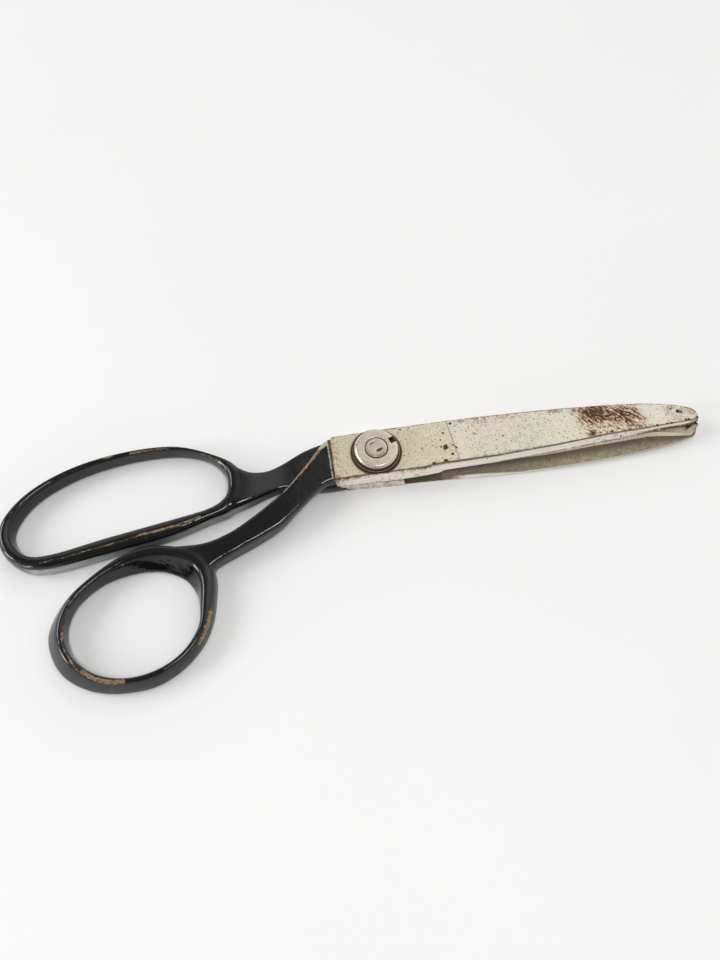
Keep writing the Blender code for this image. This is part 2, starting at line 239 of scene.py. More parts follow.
class Nickel(Graph):
    """Worn nickel plate: cloudy tone, fine grinding lines and pinpricks, with rust laid over."""

    def __init__(self, name):
        super().__init__(name)
        cloud = self.noise(0.11, 6.0, roughness=0.6)
        mottle = self.noise(0.9, 5.0, roughness=0.7)
        self.grain = self.noise(1.0, 3.0, self.stretched(8, (0.10, 2.4, 0.5)))
        self.broken = self.noise(0.45, 5.0, roughness=0.75)
        self.stains = self.noise(0.6, 6.0, roughness=0.72)
        self.fine = self.noise(2.0, 4.0, roughness=0.7)
        thick = self.step(cloud, 0.42, 0.60, 0.0, 0.05)
        self.top = self.step(self.nz, 0.85, 0.97)
        pepper = self.any(
            self.all(self.dots(0.85, -0.08, 0.25, 1.6, "2D"), self.step(mottle, 0.38, 0.52, 0.35, 1.0)),
            self.dots(0.33, -0.10, 0.15, 3.0, "2D"),
            self.all(self.dots(1.5, -0.2, 0.3, 1.4, "2D"), 0.6),
        )
        pricks = self.all(self.dots(0.95, -0.12, 0.34, 2.0), self.step(mottle, 0.44, 0.56))
        self.specks = self.any(self.all(pepper, self.step(self.nz, 0.5, 0.7)), pricks)
        tone = self.step(cloud, 0.30, 0.70, 0.90, 1.04)
        tone = self.math("ADD", tone, self.step(mottle, 0.3, 0.7, -0.05, 0.05))
        tone = self.math("ADD", tone, self.step(self.grain, 0.3, 0.7, -0.035, 0.035))
        self.tone = self.math("SUBTRACT", tone, thick)
        self.near = self.step(self.ny, -0.6, -0.35, 1.0, 0.0)

    def toned(self, colour):
        grey = self.put("CombineColor", {0: self.tone, 1: self.tone, 2: self.tone}).outputs[0]
        return self.mix(1.0, colour, grey, "MULTIPLY")

    def window(self, value, start, full, last, end):
        """1 from full to last, fading to 0 at start and at end."""
        return self.all(self.step(value, start, full), self.step(value, last, end, 1.0, 0.0))

    def away(self, x, y, wide=1.0, high=1.0):
        """Distance from a point of the top face, in ellipse radii."""
        place = {0: self.mm, 1: (x, y, 0.0)}
        offset = self.put("VectorMath", place, operation="SUBTRACT").outputs[0]
        share = {0: offset, 1: (1 / wide, 1 / high, 0.0)}
        sized = self.put("VectorMath", share, operation="MULTIPLY").outputs[0]
        return self.put("VectorMath", {0: sized}, operation="LENGTH").outputs["Value"]

    def spots(self, places):
        """Rust spots given as (x, y, radius), with ragged rims."""
        ragged = self.step(self.fine, 0.3, 0.7, -0.35, 0.35)
        made = []
        for x, y, radius in places:
            level = self.math("ADD", self.away(x, y, radius, radius), ragged)
            made.append(self.step(level, 0.75, 1.1, 1.0, 0.0))
        return self.any(*made)

    def rings(self, places):
        """Rust rings given as (x, y, radius)."""
        ragged = self.step(self.fine, 0.3, 0.7, -0.3, 0.3)
        made = []
        for x, y, radius in places:
            level = self.math("ADD", self.away(x, y, radius, radius), ragged)
            made.append(self.window(level, 0.55, 0.8, 1.05, 1.35))
        return self.any(*made)

    def rusted(self, colour, light, dark, dirt, *dull):
        """Lays dirt, then light and dark rust, over a colour and finishes the material."""
        colour = self.mix(dirt, self.toned(colour), DIRT)
        colour = self.mix(self.all(light, 0.9), colour, RUST_LIGHT)
        shade = self.mix(self.step(self.fine, 0.36, 0.60), RUST_BLACK, RUST)
        colour = self.mix(dark, colour, shade)
        rusty = self.any(dark, dirt, self.all(light, 0.6), *dull)
        roughness = self.math("ADD", self.step(self.stains, 0.3, 0.7, 0.36, 0.48), self.all(rusty, 0.38))
        metallic = self.step(rusty, 0.0, 0.8, 0.55, 0.0)
        height = self.math("MULTIPLY_ADD", self.grain, 0.25, self.all(rusty, self.fine, 0.9))
        height = self.math("SUBTRACT", height, self.all(self.specks, 0.6))
        return self.finish(colour, roughness, metallic, height, 0.06 * MM, Specular_IOR_Level=0.15)


# Rust on the thumb blade's top face.
THUMB_SPOTS = [             # x, y, radius
    (22.8, -1.5, 1.0), (21.4, -1.2, 0.4), (25.2, -1.1, 0.4), (26.3, -2.0, 0.4), (24.6, -4.2, 0.55),
    (17.9, -7.0, 0.8), (22.0, -6.5, 0.75), (22.9, 3.9, 0.4), (21.6, 1.4, 0.3), (26.0, 7.0, 0.5),
    (103.2, 1.7, 0.75), (104.2, 1.2, 0.5), (101.1, 2.9, 0.35), (105.0, -1.9, 0.45), (106.0, -1.8, 0.45),
    (99.7, -2.5, 0.45), (108.9, -1.4, 0.5), (45.5, -6.1, 0.4), (99.5, 1.4, 0.2), (106.3, 2.8, 0.35),
    (109.0, 0.8, 0.4), (94.6, -2.7, 0.55), (98.2, -2.5, 0.4),
]
THUMB_RINGS = [(108.0, 0.7, 0.85), (100.9, 3.3, 0.8)]
RUST_CENTRES = [            # x, y, half width, half height, reach in ellipse radii, strength
    (74.8, 4.6, 6.5, 4.6, 1.25, 0.16), (84.5, 2.6, 7.5, 4.2, 1.25, 0.115), (71.5, -3.2, 4.0, 1.5, 1.3, 0.15),
]
HUB_END = 25.7              # the flat hub's slanted end crosses the x axis here
HUB_SLANT = 0.122           # how far that end moves back for each step across
THUMB_END = ENAMEL_END["thumb_blade"][0][0]
FINGER_END = ENAMEL_END["finger_blade"][0][0] + ENAMEL_END["finger_blade"][0][2]    # x + z there


def rust_patch(g):
    """Light and dark scratchy rust in a slanted field of the top face."""
    slant = g.math("MULTIPLY_ADD", g.y, 0.42, g.x)
    inside = g.all(g.top, g.window(slant, 67.5, 71.5, 90.5, 93.5))
    flakes = g.noise(1.0, 5.0, g.stretched(-47, (0.54, 1.30, 0.5)), 0.74)
    level = g.math("ADD", flakes, g.step(g.fine, 0.25, 0.75, -0.05, 0.05))
    for x, y, wide, high, reach, strength in RUST_CENTRES:
        level = g.math("ADD", level, g.step(g.away(x, y, wide, high), 0.0, reach, strength, 0.0))
    return g.all(inside, g.step(level, 0.44, 0.56)), g.all(inside, g.step(level, 0.565, 0.605))


def corner_marks(g):
    """A line of dirt, a smear and rust along the corner over the land."""
    away = g.math("ABSOLUTE", g.math("SUBTRACT", g.y, g.curve(g.x, CORNER, -9.0, 0.0)))
    high = g.step(g.z, 6.4, 6.9)
    line = g.all(high, g.step(away, 0.10, 0.38, 1.0, 0.0), g.step(g.broken, 0.30, 0.46, 0.25, 1.0))
    smear = g.all(
        g.top, g.step(away, 0.2, 1.3, 1.0, 0.0), g.window(g.x, 26.0, 34.0, 52.0, 60.0),
        g.step(g.stains, 0.44, 0.60),
    )
    rust = g.all(
        high, g.step(away, 0.1, 0.6, 1.0, 0.0), g.step(g.x, 17.0, 24.0, 1.0, 0.0),
        g.step(g.stains, 0.44, 0.54),
    )
    return line, smear, rust


def back_marks(g):
    """A line of dirt along the back edge, and two blooms of rust beside it."""
    away = g.math("SUBTRACT", g.curve(g.x, BACK, 0.0, 9.0), g.y)
    line = g.all(g.top, g.step(away, 0.05, 0.34, 1.0, 0.0), g.step(g.broken, 0.42, 0.54))
    bloom = g.all(
        g.top, g.step(away, 0.2, 2.6, 1.0, 0.0), g.step(g.stains, 0.45, 0.56),
        g.any(g.window(g.x, 26.0, 30.0, 46.0, 52.0), g.window(g.x, 58.0, 60.0, 64.0, 67.0)),
    )
    return line, bloom


def lip_marks(g):
    """Dirt low on the land, and red rust there near the tip."""
    lip = g.all(g.near, g.window(g.z, 4.0, 4.2, 5.95, 6.2))
    line = g.all(lip, g.step(g.x, 24.0, 44.0), g.step(g.broken, 0.36, 0.5), 0.8)
    red = g.all(
        g.near, g.step(g.x, 82.0, 96.0), g.step(g.z, 6.2, 6.8, 1.0, 0.0), g.step(g.broken, 0.38, 0.46),
    )
    return line, red


def thumb_steel():
    """A dull hub, a brighter blade and a cream land whose lighter tone is painted light from the front, with
    rust, dirt and a thin brown film.
    """
    g = Nickel("thumb_nickel")
    from_hub = g.math("MULTIPLY_ADD", g.y, HUB_SLANT, g.math("SUBTRACT", g.x, HUB_END))
    hub_line = g.all(
        g.top, g.step(g.math("ABSOLUTE", from_hub), 0.08, 0.26, 1.0, 0.0), g.step(g.broken, 0.3, 0.45),
    )
    colour = g.mix(g.all(g.top, g.step(from_hub, -0.08, 0.08)), NICKEL_DULL, NICKEL_BRIGHT)
    # Painted light: faces towards the front are painted lighter cream.
    colour = g.mix(g.near, colour, NICKEL_CREAM_PAINTED_LIGHT)

    light_patch, dark_patch = rust_patch(g)
    corner_line, corner_smear, corner_rust = corner_marks(g)
    back_line, back_bloom = back_marks(g)
    lip_line, lip_red = lip_marks(g)
    tip_bloom = g.all(g.top, g.step(g.x, 96.0, 101.0), g.step(g.stains, 0.50, 0.66))
    stained = g.any(g.window(g.x, -2.0, 1.0, 12.0, 16.0), g.window(g.x, 64.0, 72.0, 88.0, 98.0))
    land_bloom = g.all(g.near, stained, g.step(g.stains, 0.52, 0.66))
    from_end = g.math("SUBTRACT", g.x, THUMB_END)
    ragged_end = g.math("ADD", from_end, g.step(g.broken, 0.3, 0.7, 0.2, -0.2))
    end_line = g.step(ragged_end, 0.75, 1.0, 1.0, 0.0)
    end_bloom = g.all(g.window(from_end, 0.7, 1.2, 1.5, 4.0), g.step(g.stains, 0.44, 0.58))
    freckles = g.all(g.step(from_end, 3.0, 9.0, 1.0, 0.0), g.step(g.fine, 0.54, 0.64))
    # A dark ring at the foot of the washer: dirt and painted contact shade.
    ring_dirt_and_shade = g.window(g.away(0.0, 0.0), 7.6, 7.9, 8.25, 8.75)
    film = g.all(g.top, g.window(g.x, 27.0, 36.0, 50.0, 66.0), g.step(g.stains, 0.44, 0.62))
    tip_film = g.all(g.top, g.step(g.x, 97.0, 103.0), g.step(g.stains, 0.34, 0.56))

    light = g.any(
        light_patch, g.all(tip_bloom, 0.55), g.all(land_bloom, 0.75), g.all(end_bloom, 0.8),
        g.all(g.top, g.rings(THUMB_RINGS)), g.all(back_bloom, 0.9), g.all(lip_red, 0.9),
        corner_rust, g.all(freckles, 0.6),
    )
    dark = g.any(
        dark_patch, g.all(g.top, g.spots(THUMB_SPOTS)), g.all(back_bloom, g.step(g.fine, 0.5, 0.6)),
        g.all(end_bloom, g.step(g.fine, 0.52, 0.62)), g.all(lip_red, g.step(g.fine, 0.36, 0.52)),
        g.all(corner_rust, g.step(g.fine, 0.42, 0.52)), g.all(land_bloom, g.step(g.fine, 0.54, 0.62)),
        g.all(hub_line, 0.6),
    )
    dirt = g.any(
        g.all(corner_line, 0.9), g.all(corner_smear, 0.7), end_line, g.all(back_line, 0.85), lip_line,
        g.all(g.specks, 0.8), g.all(g.top, ring_dirt_and_shade, 0.95), g.all(film, 0.16), g.all(tip_film, 0.22),
    )
    return g.rusted(colour, light, dark, dirt)


def finger_steel():
    """A cream side at the hub and along the lower rim, its lighter tone painted light, and an olive hollow
    with painted shade that darkens it at the hub and under the upper blade.
    """
    g = Nickel("finger_nickel")
    wall = g.all(g.near, g.any(g.step(g.x, 7.9, 8.3, 1.0, 0.0), g.step(g.z, 0.95, 1.05, 1.0, 0.0)))
    hollow = g.all(g.step(g.x, 7.9, 8.3), g.step(g.z, 4.10, 4.20, 1.0, 0.0), g.step(g.nz, 0.02, 0.15))
    olive = g.mix(g.step(g.stains, 0.35, 0.65), OLIVE, OLIVE_PALE)
    # Painted shade in the hollow: darker towards the hub, darker still in the pocket before x 20.6 mm, and
    # darker high up under the upper blade.
    olive = g.mix(g.step(g.x, 20.0, 75.0, 0.85, 0.0), olive, OLIVE_HUB_SHADE)
    olive = g.mix(g.step(g.x, 20.6, 21.2, 0.85, 0.0), olive, OLIVE_POCKET_SHADE)
    olive = g.mix(g.step(g.z, 1.4, 3.6, 0.0, 0.85), olive, OLIVE_UNDER_BLADE_SHADE)
    rim = g.all(g.step(g.x, 23.0, 30.0), g.step(g.z, 1.15, 1.32, 1.0, 0.0))
    land = g.all(g.step(g.x, 8.2, 8.6), g.step(g.z, 3.98, 4.08), g.top)
    # Painted light: the front side at the hub and the thin back edge are painted lighter cream.
    colour = g.mix(wall, NICKEL_DULL, NICKEL_CREAM_PAINTED_LIGHT)
    # Painted shade on the land beside the upper blade, a little less towards the tip.
    colour = g.mix(g.all(land, g.step(g.x, 90.0, 108.0, 1.0, 0.65)), colour, LAND_PAINTED_SHADE)
    colour = g.mix(hollow, colour, olive)
    # The worn rim along the hollow's lower edge, also painted lighter cream as painted light.
    colour = g.mix(rim, colour, NICKEL_CREAM_PAINTED_LIGHT)
    tip = g.step(g.x, 106.4, 108.2)
    hub_side = g.all(g.near, g.step(g.x, 8.2, 9.0, 1.0, 0.0))
    blush = g.any(g.all(hub_side, g.step(g.stains, 0.44, 0.60)), g.all(tip, g.step(g.broken, 0.40, 0.55)))
    seam = g.all(hub_side, g.step(g.z, 3.5, 4.1), g.step(g.broken, 0.32, 0.5))
    from_end = g.math("SUBTRACT", g.math("ADD", g.x, g.z), FINGER_END)
    from_end = g.math("MULTIPLY", from_end, math.sqrt(0.5))
    dark = g.any(
        g.all(seam, 0.8), g.all(tip, g.step(g.stains, 0.5, 0.62)),
        g.step(from_end, 0.35, 0.7, 1.0, 0.0), g.all(hub_side, g.step(g.fine, 0.56, 0.64), 0.8),
    )
    light, dirt = g.all(blush, 0.75), g.all(g.specks, 0.8)
    return g.rusted(colour, light, dark, dirt, g.all(hollow, 0.6), g.all(land, 0.4))


def pivot_steel(name, tint, side_shade, shine, darkening):
    """Nickel of the round pieces, with rings left by turning and sides painted darker as painted shade.
    darkening gives the zones darkened by dirt and painted shade.
    """
    g = Nickel(name)
    radius = g.away(0.0, 0.0)
    rings = g.noise(1.0, 2.0, g.put("CombineXYZ", {0: g.math("MULTIPLY", radius, 2.0)}).outputs[0])
    side = g.step(g.nz, 0.15, 0.55, 1.0, 0.0)
    # Painted shade: the sides are painted darker.
    colour = g.mix(g.all(side, 0.85), g.toned(tint), side_shade)
    dark = g.any(darkening(g, radius), g.all(g.specks, 0.6))
    colour = g.mix(dark, colour, g.mix(g.step(g.fine, 0.4, 0.6), DIRT_SHADE_BLACK, DIRT_SHADE_BROWN))
    roughness = g.math("ADD", g.step(rings, 0.3, 0.7, 0.27, 0.37), g.all(dark, 0.35))
    metallic = g.step(g.any(dark, g.all(side, 0.6)), 0.0, 0.8, shine, 0.0)
    height = g.math("MULTIPLY_ADD", rings, 0.5, g.all(g.grain, 0.2))
    return g.finish(colour, roughness, metallic, height, 0.04 * MM, Specular_IOR_Level=0.2)


def nut_dirt_and_shade(g, radius):
    """Dirt around the screw, and dirt with painted shade in the notch."""
    ring = g.all(g.step(radius, 3.80, 3.92, 1.0, 0.0), g.step(g.broken, 0.3, 0.5, 0.55, 1.0))
    across = g.put("SeparateXYZ", {0: g.stretched(NOTCH_ANGLE, (1.0, 1.0, 1.0))})
    far = g.step(across.outputs[0], NUT_RIM - NOTCH - 0.12, NUT_RIM - NOTCH - 0.05)
    within = g.step(g.math("ABSOLUTE", across.outputs[1]), NOTCH / 2 - 0.02, NOTCH / 2 + 0.08, 1.0, 0.0)
    return g.any(ring, g.all(far, within))


def washer_dirt_and_shade(g, radius):
    """Dirt and painted shade all over the washer, its side too, but for a worn ring."""
    side = g.step(g.nz, 0.3, 0.7, 1.0, 0.0)
    return g.any(g.step(radius, 7.42, 7.50, 1.0, 0.0), g.step(radius, 7.66, 7.76), side)


def screw_steel():
    """Nickel of the screw's hammered end, darker inside its dent and its scar."""
    g = Nickel("screw_nickel")
    sunk = g.put("Attribute", attribute_name="sunk").outputs["Fac"]
    radius = g.away(0.0, 0.0)
    rim = g.all(g.step(radius, 3.30, 3.55), g.step(g.broken, 0.25, 0.45, 0.7, 1.0))
    smear = g.all(g.window(radius, 2.4, 2.9, 3.3, 3.5), g.step(g.y, -1.5, 0.5, 1.0, 0.0))
    smear = g.all(smear, g.step(g.stains, 0.44, 0.56))
    ragged = g.math("ADD", sunk, g.step(g.fine, 0.3, 0.7, -0.2, 0.2))
    dark = g.any(rim, g.all(smear, 0.6), g.step(ragged, 0.25, 0.45, 0.0, 0.95))
    darkening = g.mix(g.step(g.fine, 0.4, 0.6), RUST_BLACK, GRIME_PALE)
    colour = g.mix(dark, g.toned(SCREW_TINT), darkening)
    roughness = g.math("ADD", g.step(g.stains, 0.3, 0.7, 0.28, 0.38), g.all(dark, 0.35))
    metallic = g.step(dark, 0.0, 0.8, 0.65, 0.0)
    return g.finish(colour, roughness, metallic, g.all(g.grain, 0.3), 0.04 * MM, Specular_IOR_Level=0.15)


# ---------------------------------------------------------------- enamel

def enamel():
    """Thick black enamel. The meshes carry where it is worn through, and noise makes the chips ragged. Some
    bare steel stands for painted glints, and the rubbed grey also for a painted reflection of the floor.
    """
    g = Graph("worn_black_enamel")
    kinds = ("worn", "silver_and_glint", "pale", "rubbed_and_sheen")
    worn, silver_and_glint, pale, rubbed_and_sheen = (g.put("Attribute", attribute_name=kind).outputs["Fac"] for kind in kinds)
    ragged = g.noise(0.75, 6.0, roughness=0.68)
    fine = g.noise(2.2, 4.0, roughness=0.7)
    streaks = g.noise(1.0, 3.0, g.stretched(10, (0.10, 1.2, 1.2)))
    along = g.noise(1.0, 3.0, g.stretched(10, (0.25, 1.6, 0.5)))
    level = g.math("ADD", worn, g.math("MULTIPLY_ADD", fine, 0.30, g.math("MULTIPLY", ragged, 0.60)))
    level = g.math("MULTIPLY_ADD", along, 0.40, level)
    chip = g.step(level, 1.17, 1.22)
    rim = g.step(level, 1.05, 1.17)
    # Silver marks: bare steel, partly painted glints on the crests.
    bright = g.step(g.math("ADD", silver_and_glint, g.math("MULTIPLY", fine, 0.9)), 1.00, 1.10)
    strip = g.step(g.math("ADD", pale, g.math("MULTIPLY", ragged, 0.5)), 0.74, 0.84)
    tan = g.mix(g.step(fine, 0.42, 0.62), UNDERCOAT, UNDERCOAT_PALE)
    tan = g.mix(g.step(ragged, 0.5, 0.68), tan, RUST_LIGHT)
    tan = g.mix(g.step(g.noise(2.1, 4.0, roughness=0.75), 0.48, 0.58), tan, UNDERCOAT_DARK)
    # Rubbed grey low on the walls facing the front: wear and a painted reflection of the floor.
    worn_grey_and_sheen = g.all(rubbed_and_sheen, g.step(streaks, 0.30, 0.60, 0.6, 1.0), g.step(g.z, 4.3, 5.1, 1.0, 0.0))
    worn_grey_and_sheen = g.all(worn_grey_and_sheen, g.step(g.ny, -0.85, -0.5, 1.0, 0.0))
    colour = g.mix(g.all(rim, 0.8), ENAMEL, CHIP_RIM)
    colour = g.mix(worn_grey_and_sheen, colour, RUBBED_GREY_AND_SHEEN)
    colour = g.mix(chip, colour, tan)
    colour = g.mix(strip, colour, PALE_STRIP)
    colour = g.mix(bright, colour, BARE_STEEL_AND_GLINT)
    pits = g.dots(0.5, -0.03, 0.10, 7.0)
    lumps = g.noise(0.28, 2.0)
    orange_peel = g.noise(1.4, 2.0)
    smudge = g.noise(0.16, 5.0, roughness=0.65)
    bare = g.any(chip, strip, g.all(rim, 0.4), g.all(worn_grey_and_sheen, 0.35))
    roughness = g.math("ADD", g.step(smudge, 0.42, 0.7, 0.06, 0.18), g.all(bare, 0.42))
    metallic = g.any(g.all(bright, 0.4), g.all(worn_grey_and_sheen, 0.4))
    height = g.math("MULTIPLY_ADD", orange_peel, 0.08, g.math("MULTIPLY", lumps, 0.9))
    height = g.math("SUBTRACT", height, g.all(g.any(chip, bright, strip), 1.2))
    height = g.math("SUBTRACT", height, g.all(pits, 0.8))
    return g.finish(colour, roughness, metallic, height, 0.16 * MM, IOR=1.5)


# ---------------------------------------------------------------- meshes from the CAD solids

def copy_of(node, name):
    made = bpy.data.objects.new(name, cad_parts[node].data.copy())
    bpy.context.scene.collection.objects.link(made)
    made.data.materials.clear()
    return made


def cut(mesh, point, direction, keep_ahead):
    """Cuts a mesh by a plane and closes it. keep_ahead keeps the side that direction points to."""
    bm = bmesh.new()
    bm.from_mesh(mesh)
    bmesh.ops.remove_doubles(bm, verts=bm.verts, dist=2e-6)
    split = bmesh.ops.bisect_plane(
        bm, geom=bm.verts[:] + bm.edges[:] + bm.faces[:], dist=1e-7, plane_co=Vector(point),
        plane_no=Vector(direction), clear_inner=keep_ahead, clear_outer=not keep_ahead,
    )
    rim = [item for item in split["geom_cut"] if isinstance(item, bmesh.types.BMEdge)]
    bmesh.ops.contextual_create(bm, geom=rim)
    bmesh.ops.recalc_face_normals(bm, faces=bm.faces)
    bm.to_mesh(mesh)
    bm.free()


def apply_modifiers(piece):
    graph = bpy.context.evaluated_depsgraph_get()
    made = bpy.data.meshes.new_from_object(piece.evaluated_get(graph))
    piece.modifiers.clear()
    old = piece.data
    piece.data = made
    bpy.data.meshes.remove(old)


def points_of(piece):
    """The vertices as rows of x, y, z in metres."""
    points = np.empty(len(piece.data.vertices) * 3, np.float32)
    piece.data.vertices.foreach_get("co", points)
    return points.reshape(-1, 3).astype(float)


def finish_piece(piece, body, node, surface, angle):
    """Gives a piece its material, shading, body and slot. Edges sharper than angle stay crisp."""
    piece.data.materials.clear()
    piece.data.materials.append(surface)
    piece.data.shade_smooth()
    piece.data.set_sharp_from_angle(angle=math.radians(angle))
    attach(piece, body)
    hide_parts(node)
    return piece


# ---------------------------------------------------------------- wear on the handles

# Each zone is a line of points in millimetres, how wide the wear is, and how strong. Silver zones also carry
# painted glints, and rubbed zones a painted reflection of the floor.
THUMB_WEAR = {
    "worn": [
        ([(-15.9, 6.0, 8.7), (-19.0, 2.6, 8.6), (-24.0, -2.6, 8.5), (-31.2, -9.2, 8.2)], 0.66, 0.72),
        ([(-56.7, -44.6, 6.0), (-57.5, -47.9, 6.0), (-59.2, -51.3, 6.0), (-60.8, -54.4, 6.0)], 0.80, 0.71),
        ([(-99.9, -50.0, 6.9), (-97.2, -54.9, 6.9), (-94.9, -57.8, 6.9)], 0.55, 0.56),
        ([(-94.4, -57.3, 6.9), (-91.1, -59.8, 6.9), (-87.8, -61.2, 6.9), (-82.8, -61.9, 6.8)], 0.80, 0.74),
        ([(-93.0, -31.1, 6.9), (-96.5, -34.4, 6.9), (-99.1, -38.4, 6.9)], 0.45, 0.50),
        ([(-99.1, -38.4, 6.9), (-100.0, -43.2, 6.9), (-100.4, -47.0, 6.9)], 0.65, 0.66),
        ([(-82.8, -26.3, 6.6), (-82.7, -26.4, 6.6)], 0.75, 0.66),
        ([(-56.3, -43.5, 6.2), (-56.3, -43.3, 6.2)], 0.6, 0.60),
    ],
    "silver_and_glint": [
        ([(-100.6, -47.0, 6.9), (-99.6, -51.2, 6.9)], 0.35, 0.55),
        ([(-61.5, -55.4, 6.2), (-66.0, -59.0, 6.2)], 0.35, 0.50),
    ],
    "pale": [
        ([(-15.4, 7.4, 8.8), (-15.3, 0.0, 8.8), (-15.2, -7.8, 8.8)], 0.42, 0.62),
        ([(-18.0, 4.4, 8.7), (-15.4, 6.0, 8.8)], 0.95, 0.80),
    ],
    "rubbed_and_sheen": [],
}
FINGER_WEAR = {
    "worn": [
        ([(-80.1, 12.4, 6.4), (-74.2, 12.8, 6.4), (-67.6, 12.5, 6.4)], 0.55, 0.60),
        ([(-88.6, 11.8, 6.4), (-86.0, 12.2, 6.4)], 0.6, 0.64),
        ([(-54.7, 7.6, 6.4), (-50.9, 4.9, 6.4)], 0.8, 0.58),
        ([(-49.6, 2.6, 6.4), (-49.4, 2.2, 6.4)], 0.8, 0.66),
        ([(-118.0, -4.7, 6.2), (-116.6, -0.7, 6.2), (-114.6, 2.5, 6.2), (-112.2, 5.0, 6.2)], 0.5, 0.50),
        ([(-58.4, -13.6, 6.5), (-64.7, -15.3, 6.5)], 0.60, 0.60),
        ([(-64.7, -15.3, 6.5), (-71.0, -16.4, 6.5), (-77.3, -17.2, 6.5)], 0.60, 0.63),
        ([(-77.3, -17.2, 6.5), (-83.5, -18.5, 6.5), (-90.8, -19.6, 6.5)], 0.50, 0.55),
        ([(-90.8, -19.6, 6.5), (-100.0, -21.2, 6.5), (-107.9, -22.0, 6.4)], 0.50, 0.51),
    ],
    "silver_and_glint": [
        ([(-57.0, 8.9, 6.3), (-54.2, 7.2, 6.4), (-50.9, 4.6, 6.4)], 0.65, 0.70),
        ([(-110.3, -22.9, 6.2), (-114.0, -21.9, 6.2), (-117.0, -20.2, 6.2)], 0.60, 0.62),
        ([(-60.0, -15.0, 6.2), (-78.0, -18.9, 6.2)], 0.22, 0.46),
        ([(-20.6, -8.0, 4.2), (-17.0, -7.0, 4.4)], 0.60, 0.60),
    ],
    "pale": [],
    "rubbed_and_sheen": [
        ([(-110.5, -23.7, 3.4), (-96.0, -22.9, 3.4), (-80.0, -20.8, 3.4)], 2.0, 1.0),
        ([(-80.0, -20.8, 3.0), (-62.0, -17.8, 3.0), (-46.0, -12.0, 3.0)], 2.2, 0.65),
    ],
}
SINK = 0.4                  # how much a step in height counts, beside a step across, in a wear zone


def nearness(points, zones):
    """For each point, how strong the wear of the nearest zone is there."""
    best = np.zeros(len(points))
    squash = np.array([1.0, 1.0, SINK])
    points = points * squash
    for line, width, strength in zones:
        ends = np.array(line, float) * MM * squash
        for one, two in zip(ends, ends[1:]):
            run = two - one
            share = np.clip((points - one) @ run / (run @ run), 0.0, 1.0)
            away = np.linalg.norm(points - one - share[:, None] * run, axis=1) / (width * MM)
            best = np.maximum(best, strength * np.exp(-0.5 * away ** 2))
    return best


def store(piece, name, values):
    made = piece.data.attributes.new(name, "FLOAT", "POINT")
    made.data.foreach_set("value", values.astype(np.float32))


# ---------------------------------------------------------------- pieces

VOXEL = 0.35 * MM
LAP = 3.0                   # how far the handle runs on before it is cut back, in millimetres
BOW_FROM = {"thumb_blade": -50.0, "finger_blade": -40.0}    # the rounder bows start here
BOW_BLEND = 8.0             # the extra smoothing grows over this length
CREST_FROM = 1.8            # height from which a bow is smoothed once more
CREST_BLEND = 2.0
SMOOTHING = {"": 8, "bow": 22, "crest": 26}     # rounds of smoothing, all over and by vertex group


def handle(node, name, body, wear, surface):
    """The enamelled part of a half, remeshed into one smooth forged form and cut off squarely."""
    piece = copy_of(node, name)
    point, direction = ENAMEL_END[node]
    beyond = Vector(point) + Vector(direction) * LAP
    cut(piece.data, beyond * MM, direction, keep_ahead=False)
    remesh = piece.modifiers.new("remesh", "REMESH")
    remesh.mode = "VOXEL"
    remesh.voxel_size = VOXEL
    apply_modifiers(piece)
    bow = piece.vertex_groups.new(name="bow")
    crest = piece.vertex_groups.new(name="crest")
    for vertex in piece.data.vertices:
        share = min(max((BOW_FROM[node] - vertex.co.x / MM) / BOW_BLEND, 0.0), 1.0)
        bow.add([vertex.index], share, "REPLACE")
        raised = min(max((vertex.co.z / MM - CREST_FROM) / CREST_BLEND, 0.0), 1.0)
        crest.add([vertex.index], share * raised, "REPLACE")
    for group, times in SMOOTHING.items():
        soften = piece.modifiers.new("soften", "SMOOTH")
        soften.factor = 0.5
        soften.iterations = times
        soften.vertex_group = group
    apply_modifiers(piece)
    cut(piece.data, Vector(point) * MM, direction, keep_ahead=False)
    points = points_of(piece)
    for kind, zones in wear.items():
        store(piece, kind, nearness(points, zones))
    return finish_piece(piece, body, node, surface, 50)


def blade(node, name, body, surface):
    """The nickel part of a half, with its crisp faces and teeth."""
    piece = copy_of(node, name)
    point, direction = ENAMEL_END[node]
    cut(piece.data, Vector(point) * MM, direction, keep_ahead=True)
    bm = bmesh.new()
    bm.from_mesh(piece.data)
    bmesh.ops.dissolve_limit(bm, angle_limit=math.radians(0.05), verts=bm.verts, edges=bm.edges)
    bmesh.ops.recalc_face_normals(bm, faces=bm.faces)
    bm.to_mesh(piece.data)
    bm.free()
    finish_piece(piece, body, node, surface, 20)
    even = piece.modifiers.new("even", "WEIGHTED_NORMAL")
    even.keep_sharp = True
    apply_modifiers(piece)
    return piece


